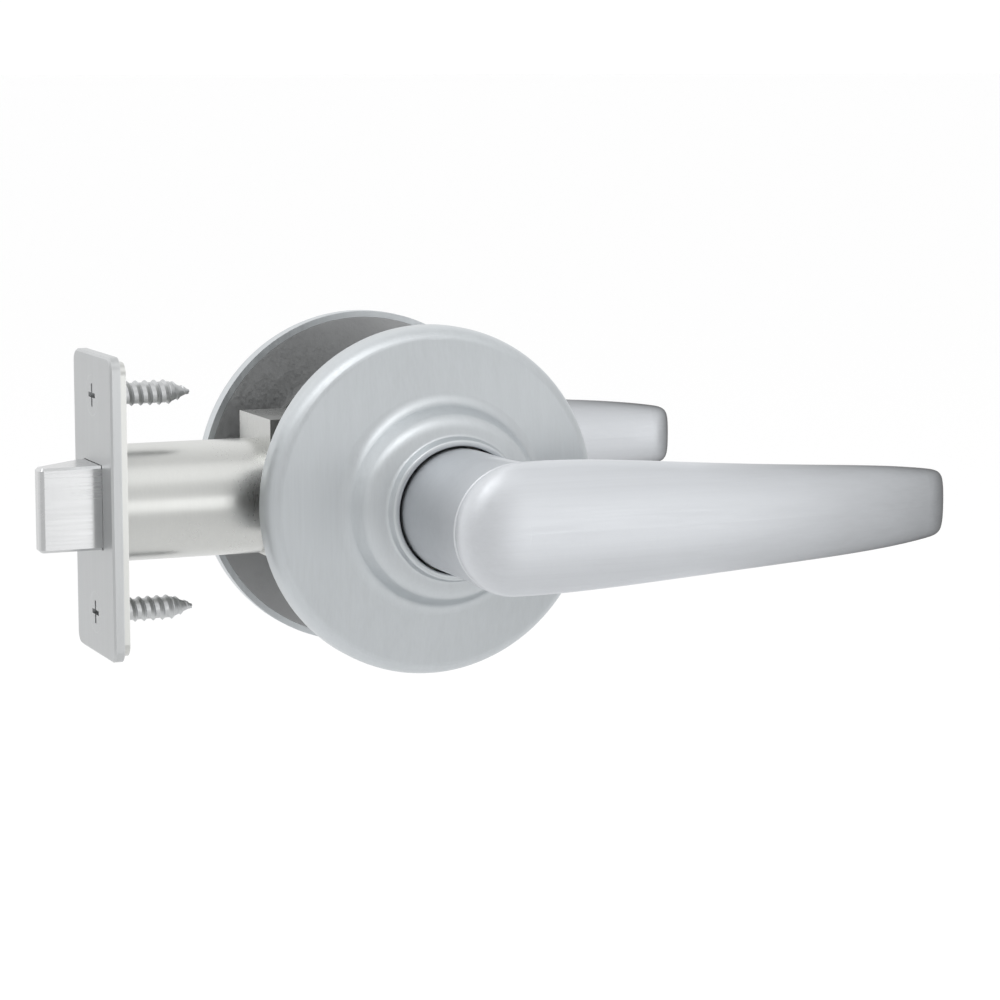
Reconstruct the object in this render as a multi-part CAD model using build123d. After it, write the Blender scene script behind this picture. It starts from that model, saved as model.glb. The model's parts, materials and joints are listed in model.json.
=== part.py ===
"""Lever handle lockset for a hall or closet door: two lever trims and a tubular latch.

Units are millimetres. The origin is on the spindle's axis, at the middle of the door's
thickness. +X points along the levers, away from the door's edge, -Y points out of the
door's outer face, and +Z is up.

Each trim is drawn once, as the outer one, in its own frame: x along the lever, y up, and z
out from the door's face. The inner trim is its mirror image.
"""

from build123d import *
from math import cos, hypot, radians, sin, sqrt
import os

# ---- driving dimensions ----

# door preparation
DOOR = 35.0  # door thickness
BACKSET = 60.3  # spindle axis to the door's edge

# rose, drawn as (radius, height off the door's face)
ROSE_R = 33.34
ROSE_WALL = 1.2
ROSE_HOLE_R = 12.0
ROSE_RIM = 4.55  # where the wall's line meets the rim's bevel
RIM_RADIUS = 4.3
CREST = (31.3, 6.15)
CREST_RADIUS = 1.8
FACE_FOOT = (19.6, 8.8)
FOOT_RADIUS = 3.5
SHOULDER = (16.8, 14.7)
SHOULDER_RADIUS = 4.0
GROOVE = (13.7, 15.6)
GROOVE_RADIUS = 0.7
LIP = (13.1, 17.8)
LIP_RADIUS = 0.55
LIP_INNER_RADIUS = 0.4
SKIN_CORNER = 5.52  # where the face's line would meet the wall's
SKIN_RADIUS = 3.4
ROSE_INNER_EDGE = 14.3  # inner end of the rose's hole

# lever
NECK_R = 11.65
NECK_EDGE_R = 12.1
NECK_EDGE = 44.1  # height of the crisp edge at the neck's end
NECK_FLARE = 12.0
FULLNESS = 0.66  # how square the arm's section is: 0.55 is an ellipse

# the arm's control sections, evenly spaced along x from the neck's axis:
# half height, depth of the widest line, front depth, back depth
ARM_LENGTH = 84.0
ARM = (
    (11.90, 44.3, 50.8, 31.0),
    (12.30, 43.0, 51.0, 30.5),
    (11.60, 42.6, 51.1, 37.5),
    (10.05, 45.0, 51.0, 40.2),
    (9.40, 45.4, 50.5, 38.6),
    (8.75, 45.2, 49.8, 39.6),
    (8.40, 44.5, 48.0, 39.8),
    (6.72, 42.7, 45.6, 39.1),
)
TIP = 88.7
# the rounded end's last two control sections: x short of the tip, and the shares that are
# left of the arm's height and thickness
TIP_EASE = 0.70  # how far the sides run on before the end rounds over
TIP_ROWS = ((0.35, 0.965, 0.52), (0.0, 0.52, 0.10))

# lever shank and its bearing
SHANK_R = 9.6
SHANK_END = -4.0
SHOULDER_Z = 13.0
FLAT = 8.6  # half width across the shank's flats
FLAT_TOP = 8.6
BORE_CLEAR = 0.05
CLOSE = 0.02  # gap between pieces that stay together
LOOSE = 0.3  # gap between pieces that only pass each other
OVER = 1.0  # how far a cut runs past a face
SHANK_CHAMFER = 0.5
EDGE_LAND = 0.1  # straight part under the neck's crisp edge
RING_GROOVE_R = 8.2
RING_R = 11.0
RING_T = 1.0
RING_Z = -2.4
RING_OPENING = 50.0

# spindle and set screw
SPINDLE = 7.6
SQUARE = SPINDLE + 2 * BORE_CLEAR
SPINDLE_CHAMFER = 0.8
SPINDLE_REACH = 30.0  # how far past the door's face the spindle ends
SQUARE_END = 31.0
SET_Z = 26.0
SET_R = 2.5
SET_OUTER = 10.8
SOCKET_AF = 2.5
SOCKET_DEPTH = 2.5

# housing
PLATE_R = 32.1
PLATE_T = 2.2
CUP_R = 16.2
CUP_BORE = 14.6
CUP_TOP = 11.2
CUP_CEILING = 9.7
RIB_T = 1.6
RIB_TOP = 4.6
RIB_OUTER = 30.0
RIBS = 8
BUSH_R = 11.2
BUSH_FLANGE_R = 13.2
BUSH_FLANGE_T = 0.9
POST_AT = 20.5  # each post's distance above or below the spindle
POST_R = 4.2
POST_END = -13.0
THREAD_R = 2.1
SCREW_HOLE_R = 2.3

# return spring and its hub
SPRING_R = 12.5
WIRE = 0.8
SPRING_PITCH = 1.75
SPRING_TURNS = 3.5
SPRING_Z = 2.4
HUB_R = 14.2
HUB_Z = 0.25
HUB_T = 1.2
SLEEVE_R = 10.6
SLEEVE_TOP = 8.4
SWING = 60.0  # how far the lever turns
LUG_R = 15.7
LUG_HALF = 8.0  # half the lug's angle
LUG_AT = 120.0
LUG_CLEAR = 0.2
STOP_GAP = 0.4  # degrees between the lug and each stop
SLOT_TOP = 1.7
LEG_SLOT = 2.0

# cover plate over the spring
COVER_R = 22.0
COVER_T = 1.25
COVER_BORE = 10.0
COVER_SCREW_AT = 19.0
COVER_SCREW_ANGLES = (30, 150, 210, 330)
COVER_SCREW_R = 1.2
COVER_HEAD_R = 2.2
COVER_HEAD_T = 1.4
COVER_SCREW_END = 1.8
COVER_HEAD_EDGE = 0.6
COVER_CROSS = (0.5, 2.2, 0.7)  # the recess's width, length and depth

# curved washer under the lever's shoulder
WASHER_IN = 9.9
WASHER_OUT = 11.6
WASHER_T = 0.25
WASHER_BOW_R = 150.0

# through screws
SCREW_R = 2.05
SCREW_HEAD_R = 3.9
SCREW_HEAD_T = 2.0
SCREW_LENGTH = 32.0
SCREW_HEAD_EDGE = 0.8
SCREW_SLOT = 1.2
SCREW_SLOT_DEPTH = 0.9

# latch
FACE_W = 25.4
FACE_H = 57.2
FACE_T = 2.0
FACE_CORNER = 2.5
FACE_CHAMFER = 0.4
BACK_W = 24.4
BACK_H = 55.2
BACK_T = 1.2
BACK_HOLE_R = 3.4
WOOD_PITCH = 41.3
WOOD_R = 2.0
WOOD_HEAD_R = 4.0
WOOD_LENGTH = 19.0
WOOD_TIP = 4.0
WOOD_POINT_R = 0.3
WOOD_CROSS = (0.9, 4.4, 1.2)
BOLT_W = 12.2
BOLT_H = 15.9
BOLT_THROW = 12.0
BOLT_BACK = 10.3
BOLT_CLEAR = 0.1
BOLT_NOSE = 3.4  # thickness left at the nose
BOLT_SLOPE_START = 1.2  # where the slope begins, outside the faceplate
BOLT_RADII = (1.0, 1.2, 2.0)  # on the nose's two corners and the slope's start
BOLT_CHAMFER = 0.5
TUBE_R = 11.1
TUBE_BORE = 10.3
TUBE_END = -28.2
GUIDE_T = 2.0
TAIL_R = 2.5
TAIL_CLEAR = 0.08
TAIL_SEAT = 6.0  # how deep the tail is fixed in the bolt
TAIL_HOLE_CLEAR = 0.6
BOLT_SPRING_R = 5.0
BOLT_WIRE = 0.6
BOLT_SPRING_TURNS = 6.0
CASE_WALL = 1.2
CASE_BACK = 13.2
CASE_TOP = 15.5
CASE_BOTTOM = -11.0
CASE_HALF = 9.2
RIVET_R = 1.0
RIVET_HEAD_R = 1.9
RIVET_HEAD_T = 0.8
RIVET_EDGE = 0.4
RIVETS = ((-25.6, -7.6), (-25.6, 11.0), (10.6, -7.6), (10.9, 6.0))

# latch hub and retractor
HUB_BARREL_R = 8.0
HUB_BARREL_HALF = 7.8
JOURNAL_R = 6.5
FINGER_REACH = 11.5
FINGER_TIP_R = 1.6
FINGER_HALF = 3.0
FINGER_NECK = 1.0
FINGER_ROOT = 2.4
FINGER_OVERLAP = 2.0  # how far the finger's root runs into the barrel
FINGER_LEAN = 30.0
FINGER_GAP = 0.15
HOOK_T = 2.0
HOOK_LOW = 9.3
HOOK_TOP = 13.0
RAIL_INNER = 3.2
RAIL_T = 1.4
WEB_X = -24.0
WEB_T = 2.0
WEB_LOW = -4.0

OUTER = Plane(origin=(0, -DOOR / 2, 0), x_dir=(1, 0, 0), z_dir=(0, -1, 0))
EDGE = -BACKSET
FRONT_ALIGN = (Align.CENTER, Align.CENTER, Align.MIN)
REST_LEAN = radians(FINGER_LEAN)


# ---- shared shapes ----


def disc(radius, low, high, x=0.0, y=0.0):
    """A cylinder along z between two heights."""
    return Pos(x, y, low) * Cylinder(radius, high - low, align=FRONT_ALIGN)


def rod(radius, low, high, y=0.0, z=0.0):
    """A cylinder along X between two places."""
    return Pos(low, y, z) * Rot(0, 90, 0) * Cylinder(radius, high - low, align=FRONT_ALIGN)


def block(low, high):
    """A box between two opposite corners."""
    size = [b - a for a, b in zip(low, high)]
    middle = [(a + b) / 2 for a, b in zip(low, high)]
    return Pos(*middle) * Box(*size)


def turned(edges):
    """A solid turned about z from a closed outline of (radius, height)."""
    return revolve(Plane.XZ * make_face(edges), Axis.Z)


def sector(radius, low, high, start, end):
    """A wedge of a disc between two angles, in degrees."""
    arc = CenterArc((0, 0), radius, start, end - start)
    outline = [Line((0, 0), arc @ 0), arc, Line(arc @ 1, (0, 0))]
    return Pos(0, 0, low) * extrude(make_face(outline), high - low)


def offset_points(points, distance):
    """The corners of a polyline moved to its left by a distance."""
    lines = []
    for (ax, ay), (bx, by) in zip(points, points[1:]):
        length = hypot(bx - ax, by - ay)
        nx = -(by - ay) / length * distance
        ny = (bx - ax) / length * distance
        lines.append(((ax + nx, ay + ny), (bx - ax, by - ay)))
    moved = [lines[0][0]]
    for ((px, py), (ux, uy)), ((qx, qy), (vx, vy)) in zip(lines, lines[1:]):
        step = ((qx - px) * vy - (qy - py) * vx) / (ux * vy - uy * vx)
        moved.append((px + step * ux, py + step * uy))
    (px, py), (ux, uy) = lines[-1]
    moved.append((px + ux, py + uy))
    return moved


def slot_cross(width, length, depth, face):
    """A cross recess about a head's face, to cut from the head."""
    low, high = face - depth, face + depth
    one = block((-length / 2, -width / 2, low), (length / 2, width / 2, high))
    return one + Rot(0, 0, 90) * one


# ---- trim, in its own frame ----


def rose():
    """Pressed cover: rolled rim, conical face, raised boss, groove and collar."""
    outside = FilletPolyline(
        (ROSE_R, 0),
        (ROSE_R, ROSE_RIM),
        CREST,
        FACE_FOOT,
        SHOULDER,
        GROOVE,
        LIP,
        (ROSE_HOLE_R, LIP[1]),
        (ROSE_HOLE_R, ROSE_INNER_EDGE),
        radius=(
            RIM_RADIUS,
            CREST_RADIUS,
            FOOT_RADIUS,
            SHOULDER_RADIUS,
            GROOVE_RADIUS,
            LIP_RADIUS,
            LIP_INNER_RADIUS,
        ),
    )
    skin = ((ROSE_R, 0), (ROSE_R, SKIN_CORNER), FACE_FOOT, SHOULDER, GROOVE)
    inner = offset_points(skin, ROSE_WALL)
    inside = FilletPolyline(
        *inner,
        radius=(SKIN_RADIUS - ROSE_WALL, FOOT_RADIUS + ROSE_WALL, SHOULDER_RADIUS - ROSE_WALL),
    )
    ends = [Line(inside @ 0, outside @ 0), Line(outside @ 1, inside @ 1)]
    return turned([outside, inside] + ends)


def crown_points(half, widest, peak):
    """Control points of a quarter of an arm section, from its widest point to its peak."""
    rise = widest + (peak - widest) * FULLNESS
    return [(half, widest), (half, rise), (half * FULLNESS, peak), (0, peak)]


def arm_rows():
    """Control sections with their x: first along the arm, then round its end."""
    step = ARM_LENGTH / (len(ARM) - 1)
    along = [(index * step, *section) for index, section in enumerate(ARM)]
    last, before = ARM[-1], ARM[-2]
    run = (TIP - ARM_LENGTH) * TIP_EASE
    carried = [a + (a - b) * run / step for a, b in zip(last, before)]
    middle = (carried[2] + carried[3]) / 2
    around = [along[-1], (ARM_LENGTH + run, *carried)]
    for short, tall, thick in TIP_ROWS:
        depths = [middle + (depth - middle) * thick for depth in carried[1:]]
        around.append((TIP - short, carried[0] * tall, *depths))
    return along, around


def skin(rows):
    """A closed solid over control sections: four smooth faces and two flat ends."""
    faces = []
    loops = ([], [])
    for side, peak in ((1, 3), (-1, 3), (-1, 4), (1, 4)):
        net = []
        for row in rows:
            points = crown_points(row[1], row[2], row[peak])
            net.append([Vector(row[0], side * y, z) for y, z in points])
        faces.append(Face.make_bezier_surface(net))
        for loop, points in zip(loops, (net[0], net[-1])):
            loop.append(Bezier(*points))
    faces += [make_face(loop).faces()[0] for loop in loops]
    return Solid(Shell(faces))


def lever_arm():
    """The crowned, tapering arm, from the neck's axis to its rounded end."""
    along, around = arm_rows()
    return skin(along) + skin(around)


def lever_neck():
    """The round neck with its flared edge, the dome over it and the stepped shank."""
    dome = Bezier(*crown_points(*ARM[0][:3]))
    outline = [
        Polyline(
            (0, SHANK_END),
            (SHANK_R - SHANK_CHAMFER, SHANK_END),
            (SHANK_R, SHANK_END + SHANK_CHAMFER),
            (SHANK_R, SHOULDER_Z),
            (NECK_R, SHOULDER_Z),
            (NECK_R, NECK_EDGE - NECK_FLARE),
            (NECK_EDGE_R, NECK_EDGE - EDGE_LAND),
            (NECK_EDGE_R, NECK_EDGE),
            dome @ 0,
        ),
        dome,
        Line(dome @ 1, (0, SHANK_END)),
    ]
    return turned(outline)


def lever():
    """Lever casting, with its shank's flats, ring groove, square socket and set screw hole."""
    body = lever_neck() + lever_arm()
    side = SQUARE / 2
    body -= block((-side, -side, SHANK_END), (side, side, SQUARE_END))
    body -= Pos(0, 0, SET_Z) * Rot(90, 0, 0) * Cylinder(SET_R, 2 * NECK_R, align=FRONT_ALIGN)
    for way in (-1, 1):
        far = way * 2 * SHANK_R
        near = way * FLAT
        low, high = sorted((near, far))
        body -= block((low, -SHANK_R, SHANK_END), (high, SHANK_R, FLAT_TOP))
    groove = disc(2 * SHANK_R, RING_Z, RING_Z + RING_T + CLOSE)
    return body - (groove - disc(RING_GROOVE_R, RING_Z, SHOULDER_Z))


def set_screw():
    """Socket set screw that clamps the lever to the spindle, from below."""
    length = SET_OUTER - SPINDLE / 2 - CLOSE
    screw = Cylinder(SET_R - CLOSE, length, align=FRONT_ALIGN)
    socket = extrude(RegularPolygon(SOCKET_AF / sqrt(3), 6), SOCKET_DEPTH)
    screw -= Pos(0, 0, length - SOCKET_DEPTH) * socket
    return Pos(0, -SPINDLE / 2 - CLOSE, SET_Z) * Rot(90, 0, 0) * screw


def housing():
    """Cast plate with ribs and the spring's cup, open towards the door."""
    body = disc(PLATE_R, 0, PLATE_T) + disc(CUP_R, 0, CUP_TOP)
    for index in range(RIBS):
        rib = block((CUP_R - OVER, -RIB_T / 2, 0), (RIB_OUTER, RIB_T / 2, RIB_TOP))
        body += Rot(0, 0, (index + 0.5) * 360 / RIBS) * rib
    body -= disc(CUP_BORE, -OVER, CUP_CEILING)
    body -= disc(BUSH_R + CLOSE, 0, CUP_TOP + OVER)
    first = LUG_AT - SWING - LUG_HALF - STOP_GAP
    last = LUG_AT + LUG_HALF + STOP_GAP
    body -= sector(LUG_R + LUG_CLEAR, 0, SLOT_TOP, first, last)
    top = SPRING_Z + SPRING_PITCH * SPRING_TURNS
    half = LEG_SLOT / 2
    body -= block((-half, 0, top - half), (half, CUP_R + OVER, top + half))
    for x, y in polar(COVER_SCREW_AT, COVER_SCREW_ANGLES):
        body -= disc(COVER_SCREW_R + CLOSE, -OVER, PLATE_T + OVER, x, y)
    return body


def polar(radius, angles):
    """Places round a circle."""
    return [(radius * cos(radians(a)), radius * sin(radians(a))) for a in angles]


def outside_housing():
    """The outer housing: threaded posts reach through the door."""
    body = housing()
    for way in (-1, 1):
        body += disc(POST_R, POST_END, PLATE_T, 0, way * POST_AT)
        body -= disc(THREAD_R, POST_END, PLATE_T + OVER, 0, way * POST_AT)
    return body


def inside_housing():
    """The inner housing: clearance holes for the through screws."""
    body = housing()
    for way in (-1, 1):
        body -= disc(SCREW_HOLE_R, -OVER, PLATE_T + OVER, 0, way * POST_AT)
    return body


def bushing():
    """Flanged plastic bush that the shank turns in."""
    body = disc(BUSH_R, CUP_CEILING, CUP_TOP)
    body += disc(BUSH_FLANGE_R, CUP_TOP, CUP_TOP + BUSH_FLANGE_T)
    return body - disc(SHANK_R + BORE_CLEAR, 0, SHOULDER_Z)


def spring():
    """Torsion spring: one leg hooks the hub, the other lies in the cup's slot."""
    height = SPRING_PITCH * SPRING_TURNS
    coil = Rot(0, 0, -90) * Helix(SPRING_PITCH, height, SPRING_R)
    section = Plane(origin=coil @ 0, z_dir=coil % 0) * Circle(WIRE)
    body = sweep(section, path=coil, is_frenet=True)
    inner = Pos(0, -SPRING_R, SPRING_Z) * Sphere(WIRE)
    outer = Pos(0, SPRING_R, SPRING_Z + height) * Sphere(WIRE)
    body = Pos(0, 0, SPRING_Z) * body + inner + outer
    leg_in = Rot(-90, 0, 0) * Cylinder(WIRE, SPRING_R - SHANK_R - LOOSE, align=FRONT_ALIGN)
    body += Pos(0, -SPRING_R, SPRING_Z) * leg_in
    leg_out = Rot(-90, 0, 0) * Cylinder(WIRE, CUP_R - SPRING_R - LOOSE, align=FRONT_ALIGN)
    return body + Pos(0, SPRING_R, SPRING_Z + height) * leg_out


def spring_hub():
    """Driver on the shank: a disc with the stop lug and a slotted sleeve for the spring."""
    body = disc(HUB_R, HUB_Z, HUB_Z + HUB_T) + disc(SLEEVE_R, HUB_Z, SLEEVE_TOP)
    body += sector(LUG_R, HUB_Z, HUB_Z + HUB_T, LUG_AT - LUG_HALF, LUG_AT + LUG_HALF)
    high = SLEEVE_TOP + OVER
    bore = disc(SHANK_R + CLOSE, -OVER, high)
    flats = block((-FLAT - CLOSE, -HUB_R, -OVER), (FLAT + CLOSE, HUB_R, high))
    body -= bore & flats
    half = WIRE + BORE_CLEAR
    return body - block((-half, -SLEEVE_R - OVER, HUB_Z + HUB_T), (half, 0, high))


def cover():
    """Plate that closes the spring's cup, notched round the posts."""
    low = -COVER_T - OVER
    body = disc(COVER_R, -COVER_T, 0) - disc(COVER_BORE, low, OVER)
    for x, y in polar(COVER_SCREW_AT, COVER_SCREW_ANGLES):
        body -= disc(COVER_SCREW_R + CLOSE, low, OVER, x, y)
    for way in (-1, 1):
        body -= disc(POST_R + LOOSE, low, OVER, 0, way * POST_AT)
    return body


def cover_screws():
    """The screws that hold the cover to the housing."""
    low = -COVER_T - COVER_HEAD_T
    screws = []
    for x, y in polar(COVER_SCREW_AT, COVER_SCREW_ANGLES):
        head = disc(COVER_HEAD_R, low, -COVER_T)
        rim = head.edges().filter_by(GeomType.CIRCLE).sort_by(Axis.Z)[0]
        head = fillet(rim, COVER_HEAD_EDGE) - slot_cross(*COVER_CROSS, low)
        screws.append(Pos(x, y, 0) * (head + disc(COVER_SCREW_R, -COVER_T, COVER_SCREW_END)))
    return screws


def snap_ring():
    """Open ring in the shank's groove, behind the cover."""
    body = disc(RING_R, RING_Z, RING_Z + RING_T) - disc(RING_GROOVE_R + CLOSE, RING_Z, OVER)
    half = RING_OPENING / 2
    return body - sector(2 * RING_R, RING_Z, OVER, -90 - half, -90 + half)


def curved_washer():
    """Spring washer bowed about one axis, between the bush and the lever's shoulder."""
    ring = disc(WASHER_OUT, CUP_TOP, SHOULDER_Z) - disc(WASHER_IN, CUP_TOP, SHOULDER_Z)
    sag = WASHER_OUT**2 / (2 * WASHER_BOW_R)
    low = CUP_TOP + BUSH_FLANGE_T + BORE_CLEAR + sag
    centre = Pos(0, 0, low - WASHER_BOW_R) * Rot(90, 0, 0)
    outer = centre * Cylinder(WASHER_BOW_R + WASHER_T, 2 * WASHER_OUT)
    inner = centre * Cylinder(WASHER_BOW_R, 2 * WASHER_OUT)
    return ring & (outer - inner)


# ---- through the door ----


def spindle():
    """Square bar through both levers and the latch hub."""
    reach = DOOR / 2 + SPINDLE_REACH
    half = SPINDLE / 2
    bar = block((-half, -reach, -half), (half, reach, half))
    ends = bar.faces().sort_by(Axis.Y)
    return chamfer(ends[0].edges() + ends[-1].edges(), SPINDLE_CHAMFER)


def mounting_screws():
    """Two machine screws from the inner housing into the outer one's posts."""
    head = disc(SCREW_HEAD_R, 0, SCREW_HEAD_T)
    rim = head.edges().filter_by(GeomType.CIRCLE).sort_by(Axis.Z)[-1]
    half = SCREW_SLOT / 2
    slot = block(
        (-SCREW_HEAD_R, -half, SCREW_HEAD_T - SCREW_SLOT_DEPTH),
        (SCREW_HEAD_R, half, SCREW_HEAD_T + OVER),
    )
    screw = fillet(rim, SCREW_HEAD_EDGE) - slot + disc(SCREW_R, -SCREW_LENGTH, 0)
    top = DOOR / 2 + PLATE_T
    return [Pos(0, top, way * POST_AT) * Rot(-90, 0, 0) * screw for way in (-1, 1)]


# ---- latch ----


def plate_along_x(width, height, low, high, corner):
    """A rounded plate square to X."""
    plane = Plane(origin=(low, 0, 0), x_dir=(0, 1, 0), z_dir=(1, 0, 0))
    return extrude(plane * RectangleRounded(width, height, corner), high - low)


def bolt_window(low, high):
    """The opening that the bolt slides in."""
    half_w = BOLT_W / 2 + BOLT_CLEAR
    half_h = BOLT_H / 2 + BOLT_CLEAR
    return block((low, -half_w, -half_h), (high, half_w, half_h))


def wood_screw_cone(extra):
    """A countersunk head's cone at the door's edge, grown by a gap."""
    cone = Cone(WOOD_HEAD_R + extra, WOOD_R + extra, FACE_T, align=FRONT_ALIGN)
    return Pos(EDGE, 0, 0) * Rot(0, 90, 0) * cone


def latch_faceplate():
    """Plate flush with the door's edge."""
    body = plate_along_x(FACE_W, FACE_H, EDGE, EDGE + FACE_T, FACE_CORNER)
    body = chamfer(body.faces().sort_by(Axis.X)[0].edges(), FACE_CHAMFER)
    body -= bolt_window(EDGE - OVER, EDGE + FACE_T + OVER)
    for way in (-1, 1):
        body -= Pos(0, 0, way * WOOD_PITCH / 2) * wood_screw_cone(CLOSE)
    return body


def latch_backplate():
    """Plate behind the faceplate, held round the tube."""
    low = EDGE + FACE_T
    high = low + BACK_T
    body = plate_along_x(BACK_W, BACK_H, low, high, FACE_CORNER)
    body -= rod(TUBE_R + CLOSE, low - OVER, high + OVER)
    for way in (-1, 1):
        body -= rod(BACK_HOLE_R, low - OVER, high + OVER, 0, way * WOOD_PITCH / 2)
    return body


def faceplate_screws():
    """Two countersunk wood screws."""
    shank_end = EDGE + WOOD_LENGTH - WOOD_TIP
    tip = Cone(WOOD_R, WOOD_POINT_R, WOOD_TIP, align=FRONT_ALIGN)
    screw = wood_screw_cone(0) + rod(WOOD_R, EDGE + FACE_T, shank_end)
    screw += Pos(shank_end, 0, 0) * Rot(0, 90, 0) * tip
    screw -= Pos(EDGE, 0, 0) * Rot(0, 90, 0) * slot_cross(*WOOD_CROSS, 0)
    return [Pos(0, 0, way * WOOD_PITCH / 2) * screw for way in (-1, 1)]


def latch_tube():
    """Round case round the bolt, from the faceplate to the rear case."""
    low = EDGE + FACE_T
    return rod(TUBE_R, low, TUBE_END) - rod(TUBE_BORE, low - OVER, TUBE_END + OVER)


def bolt_guide():
    """Bush in the tube's inner end, which the tail slides in."""
    low = TUBE_END - GUIDE_T
    bore = rod(TAIL_R + TAIL_CLEAR, low - OVER, TUBE_END + OVER)
    return rod(TUBE_BORE - CLOSE, low, TUBE_END) - bore


def latch_bolt():
    """Spring bolt with one sloping side."""
    half = BOLT_W / 2
    tip = EDGE - BOLT_THROW
    back = EDGE + BOLT_BACK
    outline = FilletPolyline(
        (back, -half),
        (tip, -half),
        (tip, -half + BOLT_NOSE),
        (EDGE - BOLT_SLOPE_START, half),
        (back, half),
        radius=BOLT_RADII,
    )
    face = make_face([outline, Line(outline @ 1, outline @ 0)])
    body = Pos(0, 0, -BOLT_H / 2) * extrude(face, BOLT_H)
    flats = body.faces().filter_by(Axis.Z)
    rims = flats.edges().filter_by(lambda edge: (edge @ 0.5).X < EDGE - BOLT_CHAMFER)
    return chamfer(rims, BOLT_CHAMFER) - rod(TAIL_R + CLOSE, back - TAIL_SEAT, back + OVER)


def latch_tail():
    """Rod fixed in the bolt, carrying the retractor at its other end."""
    return rod(TAIL_R, EDGE + BOLT_BACK - TAIL_SEAT, WEB_X)


def bolt_spring():
    """Compression spring between the bolt and its guide."""
    low = EDGE + BOLT_BACK + BOLT_WIRE
    high = TUBE_END - GUIDE_T - BOLT_WIRE
    coil = Helix((high - low) / BOLT_SPRING_TURNS, high - low, BOLT_SPRING_R)
    section = Plane(origin=coil @ 0, z_dir=coil % 0) * Circle(BOLT_WIRE)
    return Pos(low, 0, 0) * Rot(0, 90, 0) * sweep(section, path=coil, is_frenet=True)


def hook_x():
    """The retractor hook's face, just clear of the resting finger."""
    return -FINGER_REACH * sin(REST_LEAN) + FINGER_TIP_R + FINGER_GAP


def retractor():
    """Frame on the tail: a web, two rails over the hub and the hook that the finger pulls."""
    outer = RAIL_INNER + RAIL_T
    hook = hook_x()
    body = block((WEB_X, -outer, WEB_LOW), (WEB_X + WEB_T, outer, HOOK_TOP))
    for way in (-1, 1):
        low, high = sorted((way * RAIL_INNER, way * outer))
        body += block((WEB_X, low, HOOK_LOW), (hook + HOOK_T, high, HOOK_TOP))
    return body + block((hook, -outer, HOOK_LOW), (hook + HOOK_T, outer, HOOK_TOP))


def latch_hub():
    """Follower with its square hole, its two journals and the finger, leaning at rest."""
    barrel = Cylinder(HUB_BARREL_R, 2 * HUB_BARREL_HALF) + Cylinder(JOURNAL_R, 2 * CASE_HALF)
    outline = Polyline(
        (-FINGER_ROOT, HUB_BARREL_R - FINGER_OVERLAP),
        (FINGER_ROOT, HUB_BARREL_R - FINGER_OVERLAP),
        (FINGER_NECK, HUB_BARREL_R + FINGER_NECK),
        (FINGER_NECK, FINGER_REACH),
        (-FINGER_NECK, FINGER_REACH),
        (-FINGER_NECK, HUB_BARREL_R + FINGER_NECK),
        close=True,
    )
    finger = extrude(make_face(outline), FINGER_HALF, both=True)
    finger += Pos(0, FINGER_REACH, 0) * Cylinder(FINGER_TIP_R, 2 * FINGER_HALF)
    body = barrel + Rot(0, 0, FINGER_LEAN) * finger
    body -= Box(SQUARE, SQUARE, 4 * CASE_HALF)
    return Rot(90, 0, 0) * body


def case_half(way):
    """Half of the rear case: a side wall with half of each edge wall, split at mid-thickness."""
    outer = way * CASE_HALF
    inner = way * (CASE_HALF - CASE_WALL)
    low, high = sorted((0, outer))
    body = block((TUBE_END, low, CASE_BOTTOM), (CASE_BACK, high, CASE_TOP))
    low, high = sorted((-way * OVER, inner))
    body -= block(
        (TUBE_END + CASE_WALL, low, CASE_BOTTOM + CASE_WALL),
        (CASE_BACK - CASE_WALL, high, CASE_TOP - CASE_WALL),
    )
    body -= rod(TAIL_R + TAIL_HOLE_CLEAR, TUBE_END - OVER, TUBE_END + CASE_WALL + OVER)
    body -= Rot(90, 0, 0) * Cylinder(JOURNAL_R + BORE_CLEAR, 4 * CASE_HALF)
    for x, z in RIVETS:
        body -= Pos(x, 0, z) * Rot(90, 0, 0) * Cylinder(RIVET_R + CLOSE, 4 * CASE_HALF)
    return body


def case_rivets():
    """Rivets across the rear case, headed on both sides."""
    head = disc(RIVET_HEAD_R, CASE_HALF, CASE_HALF + RIVET_HEAD_T)
    rim = head.edges().filter_by(GeomType.CIRCLE).sort_by(Axis.Z)[-1]
    head = fillet(rim, RIVET_EDGE)
    body = Cylinder(RIVET_R, 2 * CASE_HALF) + head + Rot(180, 0, 0) * head
    return [Pos(x, 0, z) * Rot(90, 0, 0) * body for x, z in RIVETS]


# ---- the whole lockset ----

TRIM = {
    "lever": lever,
    "rose": rose,
    "bushing": bushing,
    "spring": spring,
    "spring_hub": spring_hub,
    "cover": cover,
    "cover_screws": cover_screws,
    "snap_ring": snap_ring,
    "curved_washer": curved_washer,
    "set_screw": set_screw,
}

LATCH = {
    "spindle": spindle,
    "mounting_screws": mounting_screws,
    "latch_faceplate": latch_faceplate,
    "latch_backplate": latch_backplate,
    "faceplate_screws": faceplate_screws,
    "latch_tube": latch_tube,
    "bolt_guide": bolt_guide,
    "latch_bolt": latch_bolt,
    "latch_tail": latch_tail,
    "bolt_spring": bolt_spring,
    "retractor": retractor,
    "latch_hub": latch_hub,
    "case_rivets": case_rivets,
}


def solids_of(shape):
    """Every solid of a piece or of a group of pieces."""
    pieces = shape if isinstance(shape, list) else [shape]
    return [solid for piece in pieces for solid in piece.solids()]


def outer_place(solids):
    """Trim solids moved to the door's outer face."""
    return [OUTER.location * solid for solid in solids]


def inner_place(solids):
    """Trim solids mirrored to the door's inner face."""
    return [mirror(solid, about=Plane.XZ) for solid in outer_place(solids)]


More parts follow.
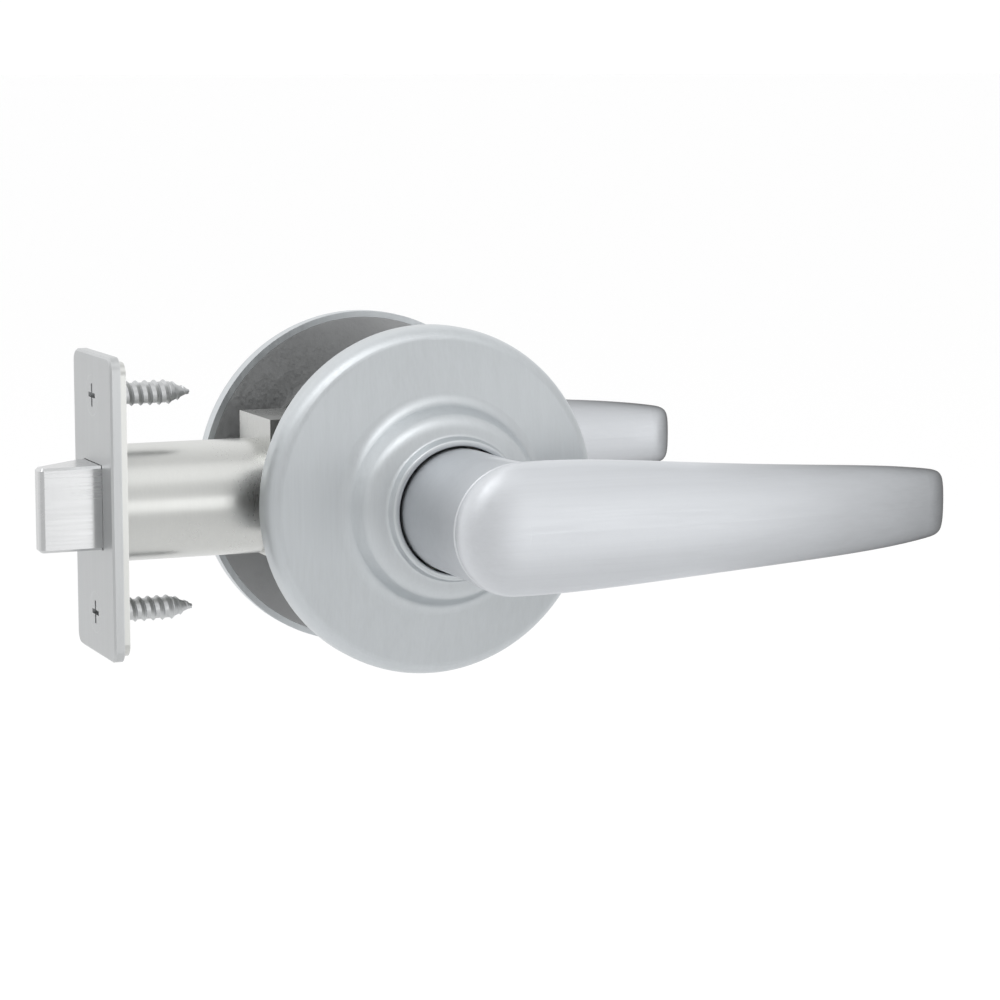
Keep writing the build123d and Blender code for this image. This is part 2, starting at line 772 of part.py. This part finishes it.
def build():
    """Every node's solids by name."""
    nodes = {}
    for name, make in TRIM.items():
        solids = solids_of(make())
        nodes["outside_" + name] = outer_place(solids)
        nodes["inside_" + name] = inner_place(solids)
    nodes["outside_housing"] = outer_place(solids_of(outside_housing()))
    nodes["inside_housing"] = inner_place(solids_of(inside_housing()))
    for name, make in LATCH.items():
        nodes[name] = solids_of(make())
    nodes["latch_case_left"] = solids_of(case_half(-1))
    nodes["latch_case_right"] = solids_of(case_half(1))
    return nodes


os.makedirs("parts", exist_ok=True)
for node, solids in build().items():
    shape = solids[0] if len(solids) == 1 else Compound(children=solids)
    export_step(shape, f"parts/{node}.step")
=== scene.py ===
"""Looks for the lever handle lockset: plated, cast and spring metals, on a pale studio floor."""

import json
from math import cos, pi, radians, sin, tan

import bpy
from mathutils import Matrix, Vector


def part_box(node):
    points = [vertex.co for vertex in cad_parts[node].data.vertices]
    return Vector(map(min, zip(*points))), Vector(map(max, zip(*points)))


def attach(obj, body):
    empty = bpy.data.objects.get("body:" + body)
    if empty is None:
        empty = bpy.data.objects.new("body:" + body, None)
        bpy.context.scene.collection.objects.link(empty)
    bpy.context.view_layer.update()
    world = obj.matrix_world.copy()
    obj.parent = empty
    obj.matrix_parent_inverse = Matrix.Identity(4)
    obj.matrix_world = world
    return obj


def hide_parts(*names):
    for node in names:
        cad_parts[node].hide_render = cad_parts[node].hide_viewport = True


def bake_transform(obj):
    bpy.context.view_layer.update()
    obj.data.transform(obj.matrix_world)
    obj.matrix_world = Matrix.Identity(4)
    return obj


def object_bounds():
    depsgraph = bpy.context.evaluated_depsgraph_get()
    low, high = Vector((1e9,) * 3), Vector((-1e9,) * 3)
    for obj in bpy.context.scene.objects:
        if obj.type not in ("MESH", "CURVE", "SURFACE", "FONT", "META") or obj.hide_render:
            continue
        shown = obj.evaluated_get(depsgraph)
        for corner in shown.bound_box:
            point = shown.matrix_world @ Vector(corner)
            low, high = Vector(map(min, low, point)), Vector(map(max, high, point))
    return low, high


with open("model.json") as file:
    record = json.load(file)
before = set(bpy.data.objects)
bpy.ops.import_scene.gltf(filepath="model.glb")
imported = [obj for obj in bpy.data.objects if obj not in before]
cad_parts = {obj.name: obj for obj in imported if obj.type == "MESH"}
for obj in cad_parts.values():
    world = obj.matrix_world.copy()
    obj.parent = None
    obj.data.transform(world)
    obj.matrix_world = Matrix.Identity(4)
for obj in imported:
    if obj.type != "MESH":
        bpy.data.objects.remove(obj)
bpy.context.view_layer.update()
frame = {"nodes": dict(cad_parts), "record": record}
NODES = frame["nodes"]

# ---- view ----

SENSOR = 0.036
VIEW_ANGLE = radians(16.17)  # what the lens takes in at the trim's own framing
WIDEN = 1.12  # how much wider the view is, to take in the latch
HEADING = 24.796  # degrees that the view turns from +Y towards +X
DIP = 7.95  # degrees that it looks down
EYE = (-0.2185, -0.5527, 0.0827)  # from the middle of the outer rose's back
PAN = 1.85  # degrees turned towards the latch
NEAREST, FURTHEST = 0.02, 200.0  # what the camera takes in, in metres

# ---- light ----

# the surround's brightness is a base plus soft lobes, each centred on a direction and
# starting at a share of the way round to it
SURROUND = 0.51
LOBES = {
    "above": {"towards": (0.2, 0.1, 1.0), "from": 0.2, "adds": 0.36},
    "behind": {"towards": (0.0, 1.0, 0.0), "from": -0.3, "adds": 0.53},
    "front": {"towards": (0.42, -0.9, -0.1), "from": 0.0, "adds": 0.44},
    "left": {"towards": (-1.0, 0.2, 0.0), "from": 0.1, "adds": 0.42},
}
LAMPS = {
    "key": {"at": (0.33, -0.76, -0.09), "size": (0.42, 0.42), "power": 0.9},
    "corner": {"at": (-0.34, -0.19, 0.7), "size": (0.42, 0.42), "power": 1.2},
    "high": {"at": (0.09, -0.42, 0.69), "size": (0.55, 0.55), "power": 0.4},
}
AIM = (0.01, -0.03, 0.0)  # what the lamps face

FLOOR_DROP = 0.15  # how far below the lockset the floor lies, as nothing stands on it
FLOOR_HALF = 60.0
PAPER = (0.96, 0.96, 0.96)
PAINTED_SHADE_FRONT = 0.22  # painted shade: how much greyer the paper is painted in front of the lockset than behind it
PAINTED_SHADE_RIGHT = 0.22  # how much more painted shade it gets from there to the right
FRONT_SHADE_FADE = (-0.35, 0.12)  # the places along Y between which the painted shade comes in
RIGHT_SHADE_FADE = (0.05, 0.35)  # and along X

MM = 0.001


def direction(heading, dip):
    """A unit vector from a heading off +Y and a dip below the horizon, in degrees."""
    a, b = radians(heading), radians(dip)
    return Vector((sin(a) * cos(b), cos(a) * cos(b), -sin(b)))


def looking(at, along):
    """A camera's or a lamp's placing at a point, facing along a direction."""
    return Matrix.Translation(at) @ along.to_track_quat("-Z", "Y").to_matrix().to_4x4()


def add_camera():
    """The camera, turned a little from the trim towards the latch."""
    low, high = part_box("outside_rose")
    centre = Vector(((low.x + high.x) / 2, high.y, (low.z + high.z) / 2))
    data = bpy.data.cameras.new("camera")
    data.sensor_width = SENSOR / MM
    data.lens = SENSOR / MM / 2 / tan(VIEW_ANGLE / 2) / WIDEN
    data.clip_start = NEAREST
    data.clip_end = FURTHEST
    camera = bpy.data.objects.new("camera", data)
    bpy.context.scene.collection.objects.link(camera)
    camera.matrix_world = looking(centre + Vector(EYE), direction(HEADING - PAN, DIP))
    bpy.context.scene.camera = camera


def add_lamp(name, lamp):
    """A soft rectangular lamp facing the lockset."""
    data = bpy.data.lights.new(name, "AREA")
    data.shape = "RECTANGLE"
    data.size, data.size_y = lamp["size"]
    data.energy = lamp["power"]
    item = bpy.data.objects.new(name, data)
    item.visible_camera = False
    bpy.context.scene.collection.objects.link(item)
    at = Vector(lamp["at"])
    item.matrix_world = looking(at, (Vector(AIM) - at).normalized())


def add_world():
    """A plain surround: a base brightness plus the lobes."""
    world = bpy.data.worlds.new("studio")
    world.use_nodes = True
    bpy.context.scene.world = world
    tree = world.node_tree
    place = tree.nodes.new("ShaderNodeTexCoord")
    total = tree.nodes.new("ShaderNodeValue").outputs["Value"]
    total.default_value = SURROUND
    for lobe in LOBES.values():
        facing = tree.nodes.new("ShaderNodeVectorMath")
        facing.operation = "DOT_PRODUCT"
        facing.inputs[1].default_value = Vector(lobe["towards"]).normalized()
        level = tree.nodes.new("ShaderNodeMapRange")
        level.interpolation_type = "SMOOTHSTEP"
        level.inputs["From Min"].default_value = lobe["from"]
        level.inputs["From Max"].default_value = 1.0
        level.inputs["To Max"].default_value = lobe["adds"]
        both = tree.nodes.new("ShaderNodeMath")
        tree.links.new(place.outputs["Generated"], facing.inputs[0])
        tree.links.new(facing.outputs["Value"], level.inputs["Value"])
        tree.links.new(total, both.inputs[0])
        tree.links.new(level.outputs["Result"], both.inputs[1])
        total = both.outputs["Value"]
    tree.links.new(total, tree.nodes["Background"].inputs["Strength"])
    tree.nodes["Background"].inputs["Color"].default_value = (1, 1, 1, 1)


def add_floor():
    """A wide pale floor, a little below the lockset."""
    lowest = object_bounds()[0][2]
    half = FLOOR_HALF
    mesh = bpy.data.meshes.new("floor")
    corners = [(-half, -half, 0), (half, -half, 0), (half, half, 0), (-half, half, 0)]
    mesh.from_pydata(corners, [], [(0, 1, 2, 3)])
    floor = bpy.data.objects.new("floor", mesh)
    floor.location = (0, 0, lowest - FLOOR_DROP)
    bpy.context.scene.collection.objects.link(floor)
    floor.data.materials.append(paper())


# ---- materials ----

STREAK_LENGTH = 50  # how many times longer than wide a brushing streak is
STREAK_DEPTH = 0.000006
CAST_DEPTH = 0.00006
NYLON_DEPTH = 0.00002
EDGE_RADIUS = 0.0004  # how far in from an edge its wear reaches


class Shader:
    """A material's nodes, built from short calls."""

    def __init__(self, name):
        self.material = bpy.data.materials.new(name)
        self.material.use_nodes = True
        self.tree = self.material.node_tree
        self.surface = self.tree.nodes["Principled BSDF"]

    def add(self, kind, **settings):
        """A node with its settings."""
        node = self.tree.nodes.new(kind)
        for key, value in settings.items():
            setattr(node, key, value)
        return node

    def link(self, source, target):
        """Joins an output to an input."""
        self.tree.links.new(source, target)

    def noise(self, scale, detail=3.0, stretch=(1, 1, 1)):
        """Noise in the row's frame, stretched per axis; scale is in features per metre."""
        place = self.add("ShaderNodeTexCoord")
        mapping = self.add("ShaderNodeMapping")
        mapping.inputs["Scale"].default_value = stretch
        texture = self.add("ShaderNodeTexNoise")
        texture.inputs["Scale"].default_value = scale
        texture.inputs["Detail"].default_value = detail
        self.link(place.outputs["Object"], mapping.inputs["Vector"])
        self.link(mapping.outputs["Vector"], texture.inputs["Vector"])
        return texture.outputs["Fac"]

    def ranged(self, value, low, high, start=0.3, end=0.7):
        """A value moved from one range to another."""
        node = self.add("ShaderNodeMapRange")
        node.inputs["From Min"].default_value = start
        node.inputs["From Max"].default_value = end
        node.inputs["To Min"].default_value = low
        node.inputs["To Max"].default_value = high
        self.link(value, node.inputs["Value"])
        return node.outputs["Result"]

    def sum(self, *values):
        """Values added together."""
        total = values[0]
        for value in values[1:]:
            node = self.add("ShaderNodeMath", operation="ADD")
            self.link(total, node.inputs[0])
            self.link(value, node.inputs[1])
            total = node.outputs["Value"]
        return total

    def tint(self, colour, level):
        """A colour scaled by a level."""
        node = self.add("ShaderNodeVectorMath", operation="SCALE")
        node.inputs[0].default_value = colour
        self.link(level, node.inputs["Scale"])
        return node.outputs["Vector"]

    def bump(self, height, depth, strength=1.0):
        """A bumped normal from a height; depth is in metres."""
        node = self.add("ShaderNodeBump")
        node.inputs["Distance"].default_value = depth
        node.inputs["Strength"].default_value = strength
        self.link(height, node.inputs["Height"])
        return node.outputs["Normal"]

    def colour(self, colour, level):
        """The surface's colour, scaled by a level."""
        self.link(self.tint(colour, level), self.surface.inputs["Base Color"])

    def roughness(self, value):
        """The surface's roughness."""
        self.link(value, self.surface.inputs["Roughness"])

    def relief(self, height, depth, strength=1.0):
        """The surface's bumps."""
        self.link(self.bump(height, depth, strength), self.surface.inputs["Normal"])

    def brush(self, across):
        """Turns the surface's sheen: its tangent lies across the grain, in the row's frame."""
        axis = self.add("ShaderNodeVectorTransform", vector_type="VECTOR")
        axis.convert_from = "OBJECT"
        axis.convert_to = "WORLD"
        axis.inputs["Vector"].default_value = [float(letter == across) for letter in "XYZ"]
        self.link(axis.outputs["Vector"], self.surface.inputs["Tangent"])

    def set(self, **values):
        """Plain values on the surface, by the input's name with underscores."""
        for key, value in values.items():
            self.surface.inputs[key.replace("_", " ")].default_value = value

    def grazing(self, amount, start=0.06, end=0.85):
        """Painted shade: a fall in the colour's tone where the surface turns away from the view."""
        weight = self.add("ShaderNodeLayerWeight")
        weight.inputs["Blend"].default_value = 0.5
        return self.ranged(weight.outputs["Facing"], 0.0, -amount, start, end)

    def along(self, letter, low, high, start, end):
        """A value that goes from one level to another between two places along an axis."""
        place = self.add("ShaderNodeTexCoord")
        parts = self.add("ShaderNodeSeparateXYZ")
        self.link(place.outputs["Object"], parts.inputs["Vector"])
        return self.ranged(parts.outputs[letter], low, high, start, end)

    def times(self, first, second):
        """Two values multiplied."""
        node = self.add("ShaderNodeMath", operation="MULTIPLY")
        self.link(first, node.inputs[0])
        self.link(second, node.inputs[1])
        return node.outputs["Value"]

    def worn_edges(self, radius, amount):
        """How far a rounded normal leaves the true one, which is largest along edges."""
        rounded = self.add("ShaderNodeBevel", samples=4)
        rounded.inputs["Radius"].default_value = radius
        true = self.add("ShaderNodeNewGeometry")
        dot = self.add("ShaderNodeVectorMath", operation="DOT_PRODUCT")
        self.link(rounded.outputs["Normal"], dot.inputs[0])
        self.link(true.outputs["Normal"], dot.inputs[1])
        return self.ranged(dot.outputs["Value"], amount, 0.0, 0.8, 1.0)


def brushed(name, colour, roughness, along, across, streak=1.0, anisotropy=0.6, shade=None):
    """Brushed plating: fine streaks along an axis, a sheen across them and faint clouding.

    A shade is painted shade: how far the tone falls at grazing angles, and where along X it starts
    and is full.
    """
    shader = Shader(name)
    stretch = [1 / STREAK_LENGTH if letter == along else 1.0 for letter in "XYZ"]
    streaks = shader.noise(2600, 2.0, stretch)
    broad = shader.noise(700, 2.0, stretch)
    cloud = shader.noise(45, 3.0)
    rough = shader.sum(
        shader.ranged(streaks, roughness - 0.05 * streak, roughness + 0.05 * streak),
        shader.ranged(cloud, -0.02, 0.03),
    )
    level = shader.sum(
        shader.ranged(cloud, 0.97, 1.02),
        shader.ranged(streaks, -0.03 * streak, 0.03 * streak),
        shader.ranged(broad, -0.015 * streak, 0.015 * streak),
        shader.worn_edges(EDGE_RADIUS, 0.10),
    )
    # painted shade: the colour darkens at grazing view angles, more so further along X
    if shade:
        amount, start, end = shade
        share = shader.along("X", 0.0, 1.0, start, end)
        level = shader.sum(level, shader.times(shader.grazing(amount), share))
    shader.roughness(rough)
    shader.colour(colour, level)
    shader.relief(streaks, STREAK_DEPTH * streak)
    shader.set(Metallic=1.0, Anisotropic=anisotropy)
    shader.brush(across)
    return shader.material


def cast(name, colour, roughness):
    """Die-cast metal: a fine pebbled skin with cloudy tone."""
    shader = Shader(name)
    grain = shader.noise(1500, 4.0)
    cloud = shader.noise(60, 4.0)
    level = shader.sum(
        shader.ranged(cloud, 0.90, 1.06),
        shader.ranged(grain, -0.05, 0.05),
        shader.worn_edges(EDGE_RADIUS, 0.20),
    )
    shader.roughness(shader.ranged(grain, roughness - 0.08, roughness + 0.08))
    shader.colour(colour, level)
    shader.relief(grain, CAST_DEPTH, 0.5)
    shader.set(Metallic=1.0)
    return shader.material


def nylon(name, colour):
    """Moulded nylon: waxy, slightly translucent, with a fine texture."""
    shader = Shader(name)
    grain = shader.noise(1800, 3.0)
    cloud = shader.noise(80, 2.0)
    shader.colour(colour, shader.ranged(cloud, 0.94, 1.03))
    shader.roughness(shader.ranged(grain, 0.38, 0.52))
    shader.relief(grain, NYLON_DEPTH, 0.4)
    shader.set(Subsurface_Weight=0.1, Subsurface_Scale=0.002)
    return shader.material


def paper():
    """The floor's matt white sheet, with painted shade: greyer in front of the lockset, more so to
    the right.
    """
    shader = Shader("studio_paper")
    fibre = shader.noise(300, 3.0)
    # painted shade: the paper's colour falls towards the front and the front right
    front = shader.along("Y", 1.0, 0.0, *FRONT_SHADE_FADE)
    right = shader.along("X", -PAINTED_SHADE_FRONT, -PAINTED_SHADE_FRONT - PAINTED_SHADE_RIGHT, *RIGHT_SHADE_FADE)
    level = shader.sum(shader.times(front, right), shader.ranged(fibre, 0.99, 1.01))
    shader.colour(PAPER, level)
    shader.roughness(shader.ranged(fibre, 0.85, 0.95))
    shader.set(Specular_IOR_Level=0.1)
    return shader.material


SATIN_ROSE = (0.549, 0.575, 0.592)
# the lever's satin is the rose's made about a tenth lighter: painted light
SATIN_LEVER = (0.604, 0.621, 0.645)
LATCH_PLATE = (0.50, 0.51, 0.515)
ZINC_PLATE = (0.55, 0.555, 0.54)
BOLT = (0.55, 0.555, 0.56)
WIRE = (0.28, 0.28, 0.29)
# painted shade on the lever: its colour darkens at grazing view angles towards its tip
LEVER_SHADE = (0.97, 0.034, 0.083)

FINISHES = {
    "rose": brushed("satin_rose", SATIN_ROSE, 0.46, "Z", "X"),
    "lever": brushed("satin_lever", SATIN_LEVER, 0.49, "X", "Z", 0.8, 0.5, LEVER_SHADE),
    "satin_plate": brushed("satin_plate", LATCH_PLATE, 0.38, "Z", "Y"),
    "plated_steel": brushed("plated_steel", ZINC_PLATE, 0.30, "Z", "X", 0.5, 0.2),
    "bolt_metal": brushed("bolt_metal", BOLT, 0.24, "X", "Z", 0.7),
    "spring_steel": brushed("spring_steel", WIRE, 0.33, "Z", "X", 0.6, 0.2),
    "zinc_casting": cast("zinc_casting", (0.36, 0.365, 0.37), 0.52),
    "black_steel": cast("black_steel", (0.03, 0.03, 0.035), 0.45),
    "white_nylon": nylon("white_nylon", (0.80, 0.79, 0.74)),
}


# ---- threads ----

THREAD_PITCH = 0.0018
THREAD_CREST = 0.00042  # how far the crest stands off the shank
THREAD_SIDES = 40  # steps in each turn
THREAD_START = 0.0045  # from the screw's head to the thread
THREAD_HALF = 0.3  # half the ridge's foot, as a share of the pitch
THREAD_SUNK = 0.00005  # how far the ridge's feet lie inside the shank
THREAD_SHORT = 0.0004  # how far the thread stops short of the point
POINT_SHARE = 0.25  # the point's radius, as a share of the shank's
TAPER = 0.004


def ridge_ring(centre, outward, forward, radius, height):
    """A thread ridge's cross section at one step round the shank: its feet and its crest."""
    half = THREAD_PITCH * THREAD_HALF
    foot = centre + outward * (radius - THREAD_SUNK)
    crest = centre + outward * (radius + height)
    return [foot - forward * half, crest, foot + forward * half]


def screw_thread(name, start, radius, length):
    """A helical ridge along X round a shank, running down onto its tapered end."""
    steps = int(length / THREAD_PITCH * THREAD_SIDES)
    forward = Vector((1, 0, 0))
    points = []
    for step in range(steps + 1):
        along = length * step / steps
        turn = 2 * pi * step / THREAD_SIDES
        outward = Vector((0, cos(turn), sin(turn)))
        left = length - along
        shank = radius * min(1.0, POINT_SHARE + (1 - POINT_SHARE) * left / TAPER)
        run_in = min(1.0, along / THREAD_PITCH, left / THREAD_PITCH)
        centre = Vector(start) + forward * along
        points += ridge_ring(centre, outward, forward, shank, THREAD_CREST * run_in)
    faces = []
    for step in range(steps):
        a, b = 3 * step, 3 * step + 3
        faces += [(a, a + 1, b + 1, b), (a + 1, a + 2, b + 2, b + 1), (a + 2, a, b, b + 2)]
    last = 3 * steps
    faces += [(0, 2, 1), (last, last + 1, last + 2)]
    mesh = bpy.data.meshes.new(name)
    mesh.from_pydata(points, [], faces)
    item = bpy.data.objects.new(name, mesh)
    bpy.context.scene.collection.objects.link(item)
    item.data.materials.append(FINISHES["satin_plate"])
    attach(item, "chassis")


def add_threads():
    """A thread on each of the two wood screws through the faceplate."""
    low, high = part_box("faceplate_screws")
    middle = (low.z + high.z) / 2
    head_radius = (high.y - low.y) / 2
    pitch_radius = (high.z - low.z) / 2 - head_radius
    start = low.x + THREAD_START
    for name, way in (("upper_screw_thread", 1), ("lower_screw_thread", -1)):
        place = (start, 0.0, middle + way * pitch_radius)
        screw_thread(name, place, head_radius / 2, high.x - start - THREAD_SHORT)


# ---- springs ----


def flexing(node):
    """A copy of a spring's coils, put in place of its CAD node, which is hidden."""
    coils = bpy.data.objects.new(node + "_coils", NODES[node].data.copy())
    bpy.context.scene.collection.objects.link(coils)
    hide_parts(node)
    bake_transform(coils)


def add_springs():
    """Copies of the two return springs and the bolt's spring, in place of their CAD nodes."""
    flexing("outside_spring")
    flexing("inside_spring")
    flexing("bolt_spring")


def finish_of(node, slot):
    """The finish a node gets: the two satin pieces differ in the way they are brushed, and the
    lever's is lighter as painted light and carries painted shade.
    """
    if slot == "satin_metal":
        return FINISHES["rose" if node.endswith("rose") else "lever"]
    return FINISHES[slot]


def paint_nodes():
    """Every CAD node takes the finish of its slot."""
    for entry in frame["record"]["subparts"]:
        mesh = NODES[entry["node"]].data
        mesh.materials.clear()
        mesh.materials.append(finish_of(entry["node"], entry["material_slot"]))


paint_nodes()
add_threads()
add_springs()
add_floor()
add_world()
add_camera()
for lamp_name, lamp_facts in LAMPS.items():
    add_lamp(lamp_name, lamp_facts)
bpy.context.scene.view_settings.view_transform = "Standard"
